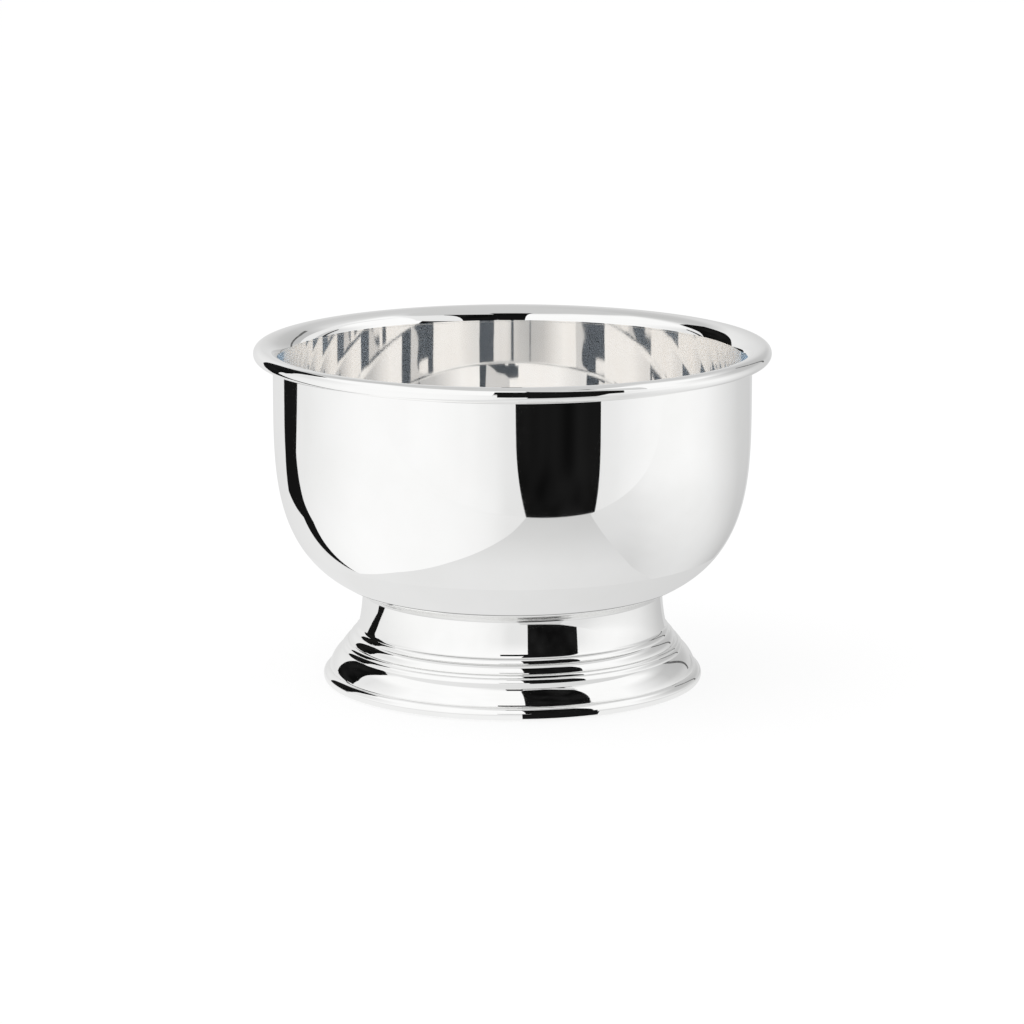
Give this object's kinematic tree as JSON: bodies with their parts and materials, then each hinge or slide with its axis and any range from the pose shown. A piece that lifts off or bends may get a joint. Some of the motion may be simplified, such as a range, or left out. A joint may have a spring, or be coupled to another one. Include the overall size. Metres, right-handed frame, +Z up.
{
  "type": "salt cellar",
  "caption": "Open footed salt cellar: a round polished bowl with a rounded, crowned rim, on a hollow stepped foot with a beaded base.",
  "frame": {"origin": "centre of the base, on the surface that it stands on", "axes": "+Z up, along the axis that every piece is turned about"},
  "size_m": [0.06, 0.06, 0.0397],
  "materials": {
    "polished_silver": "mirror-polished silver plate, spun satin inside the bowl",
    "silver_solder": "polished silver solder, slightly greyer than the plate"
  },
  "bodies": {
    "root": {"bowl": "polished_silver", "rim_ring": "polished_silver", "rim_solder": "silver_solder", "foot": "polished_silver", "foot_solder": "silver_solder", "base_ring": "polished_silver", "base_solder": "silver_solder"}
  },
  "joints": []
}
